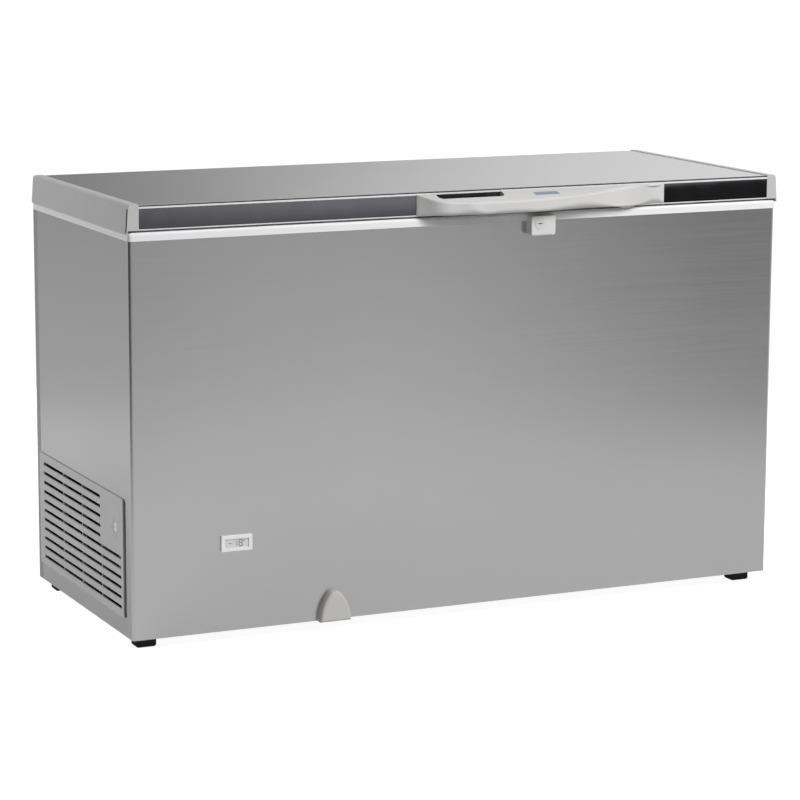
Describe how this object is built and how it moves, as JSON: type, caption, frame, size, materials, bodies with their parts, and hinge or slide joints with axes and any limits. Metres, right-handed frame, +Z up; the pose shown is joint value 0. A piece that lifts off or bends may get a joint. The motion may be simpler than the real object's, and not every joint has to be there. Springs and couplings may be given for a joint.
{
  "type": "chest freezer",
  "caption": "Wide commercial chest freezer with a brushed steel cabinet, hinged insulated lid, crescent handle, front lock, thermometer and louvred side grille.",
  "frame": {"origin": "on the floor, under the middle of the overall box", "axes": "+X to the right along the width, +Y to the back, +Z up"},
  "size_m": [1.5072, 0.6863, 0.9165],
  "materials": {
    "stainless": "satin",
    "back_paint": "satin",
    "galvanised": "satin",
    "tank_white": "gloss",
    "foam": "matte",
    "rim_white": "gloss",
    "cap_grey": "satin",
    "profile_light": "satin",
    "band_dark": "gloss",
    "handle_plastic": "satin",
    "badge_blue": "gloss",
    "lock_plastic": "satin",
    "lock_metal": "polished",
    "zinc_steel": "satin",
    "gasket_grey": "matte",
    "foot_black": "matte",
    "grille_grey": "matte",
    "knob_grey": "satin",
    "gauge_white": "gloss",
    "gauge_window": "gloss",
    "black_plastic": "satin",
    "drain_plastic": "satin",
    "copper": "satin",
    "compressor_black": "gloss",
    "black_rubber": "matte",
    "basket_coating": "satin"
  },
  "bodies": {
    "cabinet": {"outer_wrapper": "stainless", "back_panel": "back_paint", "base_plate": "galvanised", "compressor_tray": "galvanised", "bay_bulkhead": "galvanised", "tank": "tank_white", "insulation_front": "foam", "insulation_back": "foam", "insulation_left": "foam", "insulation_right": "foam", "insulation_base": "foam", "rim_frame": "rim_white", "evaporator_coil": "copper", "condenser_coil": "copper", "compressor": "compressor_black", "compressor_mounts": "black_rubber", "compressor_bolts": "zinc_steel", "relay_box": "black_plastic", "filter_drier": "copper", "suction_pipe": "copper", "discharge_pipe": "copper", "side_grille": "grille_grey", "thermostat_body": "black_plastic", "thermometer_bezel": "gauge_white", "thermometer_window": "gauge_window", "thermometer_case": "black_plastic", "drain_tube": "drain_plastic", "feet": "foot_black", "foot_screws": "zinc_steel", "rear_cover": "back_paint", "back_screws": "zinc_steel", "cable_gland": "black_rubber", "hinge_housing_left": "zinc_steel", "hinge_housing_right": "zinc_steel", "hinge_pins": "zinc_steel", "hinge_springs": "zinc_steel", "hinge_plungers": "black_plastic", "lock_housing": "lock_plastic"},
    "lid": {"lid_top_skin": "stainless", "lid_insulation": "foam", "lid_inner_panel": "rim_white", "lid_front_profile": "profile_light", "lid_front_band": "band_dark", "lid_rear_profile": "cap_grey", "lid_end_cap_left": "cap_grey", "lid_end_cap_right": "cap_grey", "lid_gasket": "gasket_grey", "handle_grip": "handle_plastic", "handle_fairing": "handle_plastic", "handle_badge": "badge_blue", "lock_keeper": "zinc_steel", "hinge_arms": "zinc_steel", "lid_screws": "zinc_steel"},
    "lock_barrel": {"lock_cylinder": "lock_metal", "lock_cam": "zinc_steel"},
    "thermostat_knob": {"thermostat_knob": "knob_grey"},
    "drain_cover": {"drain_cover": "lock_plastic"},
    "drain_plug": {"drain_plug": "drain_plastic"},
    "basket_left": {"basket_left": "basket_coating"},
    "basket_right": {"basket_right": "basket_coating"}
  },
  "joints": [
    {"name": "lid_hinge", "type": "hinge", "parent": "cabinet", "child": "lid", "pos_m": [0, 0.3325, 0.86], "axis": [-1, 0, 0], "range_deg": [0, 80]},
    {"name": "lock_turn", "type": "hinge", "parent": "cabinet", "child": "lock_barrel", "pos_m": [0.158, -0.3, 0.839], "axis": [0, -1, 0], "range_deg": [0, 90]},
    {"name": "thermostat_turn", "type": "hinge", "parent": "cabinet", "child": "thermostat_knob", "pos_m": [-0.75, -0.1945, 0.244], "axis": [-1, 0, 0], "range_deg": [0, 300]},
    {"name": "drain_cover_pull", "type": "slide", "parent": "cabinet", "child": "drain_cover", "axis": [0, -1, 0], "range_m": [0, 0.03]},
    {"name": "drain_plug_lift", "type": "slide", "parent": "cabinet", "child": "drain_plug", "axis": [0, 0, 1], "range_m": [0, 0.06]},
    {"name": "basket_left_slide", "type": "slide", "parent": "cabinet", "child": "basket_left", "axis": [1, 0, 0], "range_m": [0, 0.3]},
    {"name": "basket_right_slide", "type": "slide", "parent": "cabinet", "child": "basket_right", "axis": [-1, 0, 0], "range_m": [0, 0.3]}
  ]
}
